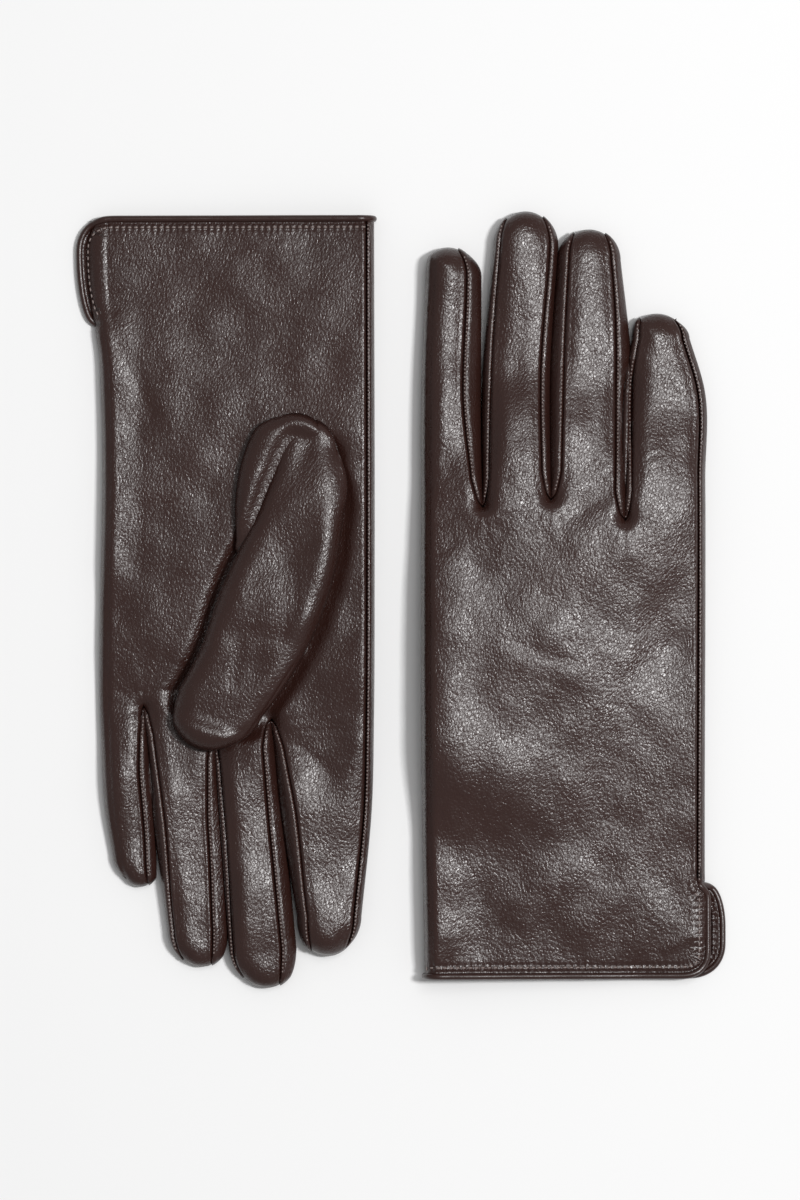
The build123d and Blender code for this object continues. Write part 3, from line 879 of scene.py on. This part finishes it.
def evenly(line, step):
    """A closed line taken again at even steps."""
    closed = np.vstack([line, line[:1]])
    length = np.concatenate([[0], np.cumsum(np.linalg.norm(np.diff(closed, axis=0), axis=1))])
    at = np.linspace(0, length[-1], int(length[-1] / step) + 1)[:-1]
    return np.stack([np.interp(at, length, closed[:, k]) for k in range(3)], axis=1)


def rolled_edge(line, radius, sides):
    """The points of a roll along a closed line, one ring for each of its points."""
    ahead = np.roll(line, -1, 0) - np.roll(line, 1, 0)
    ahead /= np.linalg.norm(ahead, axis=1)[:, None]
    up = np.array([0.0, 0.0, 1.0])
    across = np.cross(ahead, up)
    across /= np.maximum(np.linalg.norm(across, axis=1)[:, None], 1e-6)
    over = np.cross(across, ahead)
    angle = np.linspace(0, math.tau, sides + 1)
    ring = across[:, None] * np.cos(angle)[None, :, None] + over[:, None] * np.sin(angle)[None, :, None]
    rings = line[:, None] + radius * ring
    return np.vstack([rings, rings[:1]])


for glove in (LEFT, RIGHT):
    line = smoothed(evenly(bound_edges[glove.name], 0.7), 6)
    line[:, 2] = np.maximum(line[:, 2], BINDING_RADIUS + 0.05)
    tube = rolled_edge(line, BINDING_RADIUS, BINDING_SIDES)
    binding = joined([grid_piece(glove.laid(tube), "roll")], f"{glove.name}_binding")
    bpy.ops.object.mode_set(mode="EDIT")
    bpy.ops.mesh.select_all(action="SELECT")
    bpy.ops.mesh.normals_make_consistent(inside=False)
    bpy.ops.object.mode_set(mode="OBJECT")
    finished(binding, rolled_leather)
    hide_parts(f"{glove.name}_cuff_binding")
    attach(binding, f"{glove.name}_hand")


# ---------------------------------------------------------------------------------------------
# Thread: light brown sewing thread, coloured far lighter than the leather: partly the thread's own colour and
# partly painted highlight, so the stitches show as the bright beads where light catches the seams' lips and
# the hem.
# The hem's stitches hold the binding, and finer and closer ones show on the lips of the seams' grooves.
# ---------------------------------------------------------------------------------------------
HEM_INSET = 2.9
SEAM_LIP = 0.55


def spun(name, colour, roughness):
    """A thread or knit finish: one colour, darker between its fibres."""
    finish = bpy.data.materials.new(name)
    finish.use_nodes = True
    tree = finish.node_tree
    shader = tree.nodes["Principled BSDF"]
    place = node(tree, "ShaderNodeTexCoord").outputs["Object"]
    fibre = node(tree, "ShaderNodeTexNoise", {"Vector": place, "Scale": 2600.0, "Detail": 2.0})
    shade = node(tree, "ShaderNodeMix", {"Factor": fibre.outputs["Fac"]}, data_type="RGBA")
    shade.inputs[6].default_value = (*[0.7 * part for part in colour], 1)
    shade.inputs[7].default_value = (*colour, 1)
    tree.links.new(shade.outputs[2], shader.inputs["Base Color"])
    bump = node(tree, "ShaderNodeBump", {"Height": fibre.outputs["Fac"], "Strength": 0.7, "Distance": 0.0001})
    tree.links.new(bump.outputs[0], shader.inputs["Normal"])
    shader.inputs["Roughness"].default_value = roughness
    return finish


# Painted highlight: the thread is set much lighter than the leather, partly its own colour and partly
# standing in for light on the stitches and seam lips.
thread = spun("brown_thread", (0.26, 0.205, 0.190), 0.34)


def one_stitch(name, length, thickness):
    """One stitch, a short bar of thread with both ends drawn down into the leather."""
    bpy.ops.mesh.primitive_cylinder_add(vertices=6, radius=thickness / 2, depth=length * 0.6,
                                        rotation=(0, math.pi / 2, 0))
    stitch = bpy.context.object
    stitch.name = name
    bpy.ops.object.transform_apply(location=False, rotation=True, scale=True)
    bpy.ops.object.mode_set(mode="EDIT")
    down = -thickness * 0.6
    for side in (-1, 1):
        bpy.ops.mesh.select_mode(type="FACE")
        bpy.ops.mesh.select_all(action="DESELECT")
        bpy.ops.object.mode_set(mode="OBJECT")
        for face in stitch.data.polygons:
            face.select = face.normal.x * side > 0.9
        bpy.ops.object.mode_set(mode="EDIT")
        bpy.ops.mesh.extrude_region_move(TRANSFORM_OT_translate={"value": (side * length * 0.2, 0, down)})
        bpy.ops.transform.resize(value=(1, 0.5, 0.5), center_override=(side * length * 0.5, 0, down))
    bpy.ops.object.mode_set(mode="OBJECT")
    bpy.ops.object.shade_smooth()
    return stitch


def sewn_row(name, stitch, places, directions, ups):
    """Copies of one stitch, each along its own direction and on its own patch of leather, as one piece."""
    copies = []
    for at, ahead, up in zip(places, directions, ups):
        copy = stitch.copy()
        copy.data = stitch.data.copy()
        x = Vector(ahead).normalized()
        y = Vector(up).cross(x).normalized()
        copy.data.transform(Matrix.Translation(Vector(at)) @ Matrix((x, y, x.cross(y))).transposed().to_4x4())
        bpy.context.collection.objects.link(copy)
        copies.append(copy)
    bpy.data.objects.remove(stitch)
    bpy.ops.object.select_all(action="DESELECT")
    for copy in copies:
        copy.select_set(True)
    bpy.context.view_layer.objects.active = copies[0]
    bpy.ops.object.join()
    row = bpy.context.object
    row.name = name
    return row


def laid_on(trees, points, up):
    """Where lines straight down (or up) through some plan points meet the leather."""
    found = []
    for point in points:
        best = None
        for tree in trees:
            hit = tree.ray_cast(Vector((point[0], point[1], 0.08 * up)), Vector((0, 0, -up)))
            if hit[0] is not None and (best is None or (hit[0].z - best.z) * up > 0):
                best = hit[0]
        found.append(best)
    return found


def along_line(line, pitch):
    """Places at an even pitch along an open line, and the line's direction at each."""
    length = np.concatenate([[0], np.cumsum(np.linalg.norm(np.diff(line, axis=0), axis=1))])
    at = np.arange(pitch / 2, length[-1], pitch)
    places = np.stack([np.interp(at, length, line[:, k]) for k in range(2)], axis=1)
    ahead = np.stack([np.interp(at + 0.3, length, line[:, k]) - np.interp(at - 0.3, length, line[:, k])
                      for k in range(2)], axis=1)
    return places, ahead / np.maximum(np.linalg.norm(ahead, axis=1)[:, None], 1e-9)


def sew(glove, name, trees, lines, pitch, length, thickness, sink):
    """Stitches along plan lines, each laid on the leather of the face that its line belongs to."""
    places, ways, ups = [], [], []
    for line, up in lines:
        at, ahead = along_line(line, pitch)
        at = glove.laid(np.column_stack([at, np.zeros(len(at))]))
        ahead = ahead * (-1 if glove.turned else 1)
        for way, hit in zip(ahead, laid_on(trees, at, up)):
            if hit is not None:
                places.append((hit.x, hit.y, hit.z - up * sink * MM))
                ways.append((way[0], way[1], 0))
                ups.append((0, 0, up))
    return sewn_row(name, one_stitch(name, length * MM, thickness * MM), places, ways, ups)


for glove in (LEFT, RIGHT):
    trees = [BVHTree.FromObject(piece, bpy.context.evaluated_depsgraph_get())
             for piece in (sheets[glove.name, "palm"], sheets[glove.name, "back"], *fourchettes[glove.name])]

    # The hem: stitches at one inset from the cuff's edge and the vent's edge, on both faces
    lines = []
    for kind in ("palm", "back"):
        up = 1 if (kind == "palm") == glove.turned else -1
        strips = panels[glove.name, kind]
        cuff = np.vstack([strip[0, :-1] for strip in strips])
        edge = strips[-1][:(HAND_ROWS < glove.vent_top - 1).sum(), -1]
        rim = np.vstack([cuff, edge])[:, :2]
        rim = rim[np.concatenate([[True], np.linalg.norm(np.diff(rim, axis=0), axis=1) > 0.25])]
        for _ in range(4):
            rim[1:-1] = (rim[:-2] + 2 * rim[1:-1] + rim[2:]) / 4
        ahead = np.gradient(rim, axis=0)
        ahead /= np.linalg.norm(ahead, axis=1)[:, None]
        lines.append((rim + HEM_INSET * np.column_stack([-ahead[:, 1], ahead[:, 0]]), up))
    hem = sew(glove, f"{glove.name}_hem_thread", trees, lines,
              pitch=STITCH_PITCH, length=1.45, thickness=0.55, sink=-0.06)
    finished(hem, thread)
    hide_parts(f"{glove.name}_hem_stitches")
    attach(hem, f"{glove.name}_hand")

    # The seams: finer and closer stitches, on the lip beside each groove
    lines = []
    for kind in ("palm", "back"):
        up = 1 if (kind == "palm") == glove.turned else -1
        for number in range(FINGERS):
            y, tip = finger_rows(glove, number)[:2]
            for side in (0, 1):
                if not outer(number, side):
                    low = glove.crotches[number - 1 + side][1] + 2.5
                elif (kind == "palm") == (side == 1):
                    continue
                else:
                    low = glove.vent_top if side == 1 else 2
                seam = panels[glove.name, kind][number][:, -side, :2].copy()
                seam[:, 0] += (2 * side - 1) * SEAM_LIP
                lines.append((seam[(tip < 0.75) & (y > low)], up))
    seams = sew(glove, f"{glove.name}_seam_thread", trees, lines,
                pitch=1.25, length=0.68, thickness=0.50, sink=-0.15)
    finished(seams, thread)
    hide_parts(f"{glove.name}_side_seam_thread", f"{glove.name}_finger_seam_thread")
    bend_with_fingers(seams)


# ---------------------------------------------------------------------------------------------
# Lining: a thin dark brown knit inside the whole glove, a shell a little smaller than the leather.
# It shows only at the cuff's mouth and the vent.
# ---------------------------------------------------------------------------------------------
LINING_INSET = 1.5
LINING_COLUMNS = 12
lining_finish = spun("brown_knit", (0.020, 0.014, 0.013), 0.85)

for glove in (LEFT, RIGHT):
    outline = outline_of(glove)
    strips = []
    for face in (1, -1):
        for number in range(FINGERS):
            rows = finger_rows(glove, number)
            y, tip = rows[0][:, None], rows[1][:, None]
            gaps = []
            for side in (0, 1):
                crotch = 0 if outer(number, side) else glove.crotches[number - 1 + side][1]
                gaps.append(LINING_INSET * ease((y - crotch) / 3))
            place = np.linspace(0, 1, LINING_COLUMNS + 1)[None, :]
            width = half_width(rows)
            across = (-1 + gaps[0] / width) + (2 - (gaps[0] + gaps[1]) / width) * place
            plan = on_plan(rows, across)
            plan[..., 1] -= 1.4 * ease(tip)
            reach_in = np.maximum(distance_to(plan, outline) - LINING_INSET, 0)
            z = height(glove, plan, reach_in, np.full(across.shape, float(face)),
                       roll_of(glove, y, across, width))
            waist = height(glove, plan, np.zeros(across.shape), np.ones(across.shape))
            z = waist + (z - waist) * 0.78 - face * 0.35
            plan[..., 1] = np.maximum(plan[..., 1], 1.0)
            tip_start = len(y) - TIP_STEPS
            keep = np.concatenate([np.arange(0, tip_start, 3), np.arange(tip_start, len(y))])
            strips.append(grid_piece(glove.laid(np.dstack([plan, z])[keep]), "lining_strip", face > 0))
    lining = joined(strips, f"{glove.name}_knit_lining")
    finished(lining, lining_finish)
    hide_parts(f"{glove.name}_hand_lining", f"{glove.name}_finger_lining")
    bend_with_fingers(lining)
    finished(thumb_linings[glove.name], lining_finish)


# ---------------------------------------------------------------------------------------------
# The studio: a plain white floor, one hard-edged light from the right and soft light all round.
# ---------------------------------------------------------------------------------------------
bpy.ops.mesh.primitive_plane_add(size=6, location=(0, 0, 0))
floor = bpy.context.object
floor.name = "floor"
paper = bpy.data.materials.new("white_paper")
paper.use_nodes = True
paper.node_tree.nodes["Principled BSDF"].inputs["Base Color"].default_value = (0.88, 0.88, 0.88, 1)
paper.node_tree.nodes["Principled BSDF"].inputs["Roughness"].default_value = 0.9
floor.data.materials.append(paper)

world = bpy.context.scene.world or bpy.data.worlds.new("studio")
bpy.context.scene.world = world
world.use_nodes = True
world.node_tree.nodes["Background"].inputs["Color"].default_value = (1, 1, 1, 1)
world.node_tree.nodes["Background"].inputs["Strength"].default_value = 0.33
bpy.context.scene.view_settings.view_transform = "Standard"


def lamp(name, at, target, width, length, power):
    light = bpy.data.lights.new(name, "AREA")
    light.shape = "RECTANGLE"
    light.size = width
    light.size_y = length
    light.energy = power
    holder = bpy.data.objects.new(name, light)
    bpy.context.collection.objects.link(holder)
    holder.location = at
    holder.rotation_euler = (Vector(target) - Vector(at)).to_track_quat("-Z", "Y").to_euler()
    return holder


lamp("key", (1.22, 0.20, 2.60), (0, 0, 0), 0.30, 0.44, 54.5)
lamp("fill", (0.50, 0.65, 2.4), (0, 0, 0), 0.8, 1.2, 11)

CAMERA_HEIGHT = 2.4
FRAME_LENGTH = 0.400
camera = bpy.data.cameras.new("camera")
camera.sensor_fit = "VERTICAL"
camera.sensor_height = 24
camera.lens = 24 * CAMERA_HEIGHT / FRAME_LENGTH
camera.clip_end = 20
view = bpy.data.objects.new("camera", camera)
bpy.context.collection.objects.link(view)
view.location = (-0.0008, 0, CAMERA_HEIGHT)
bpy.context.scene.camera = view
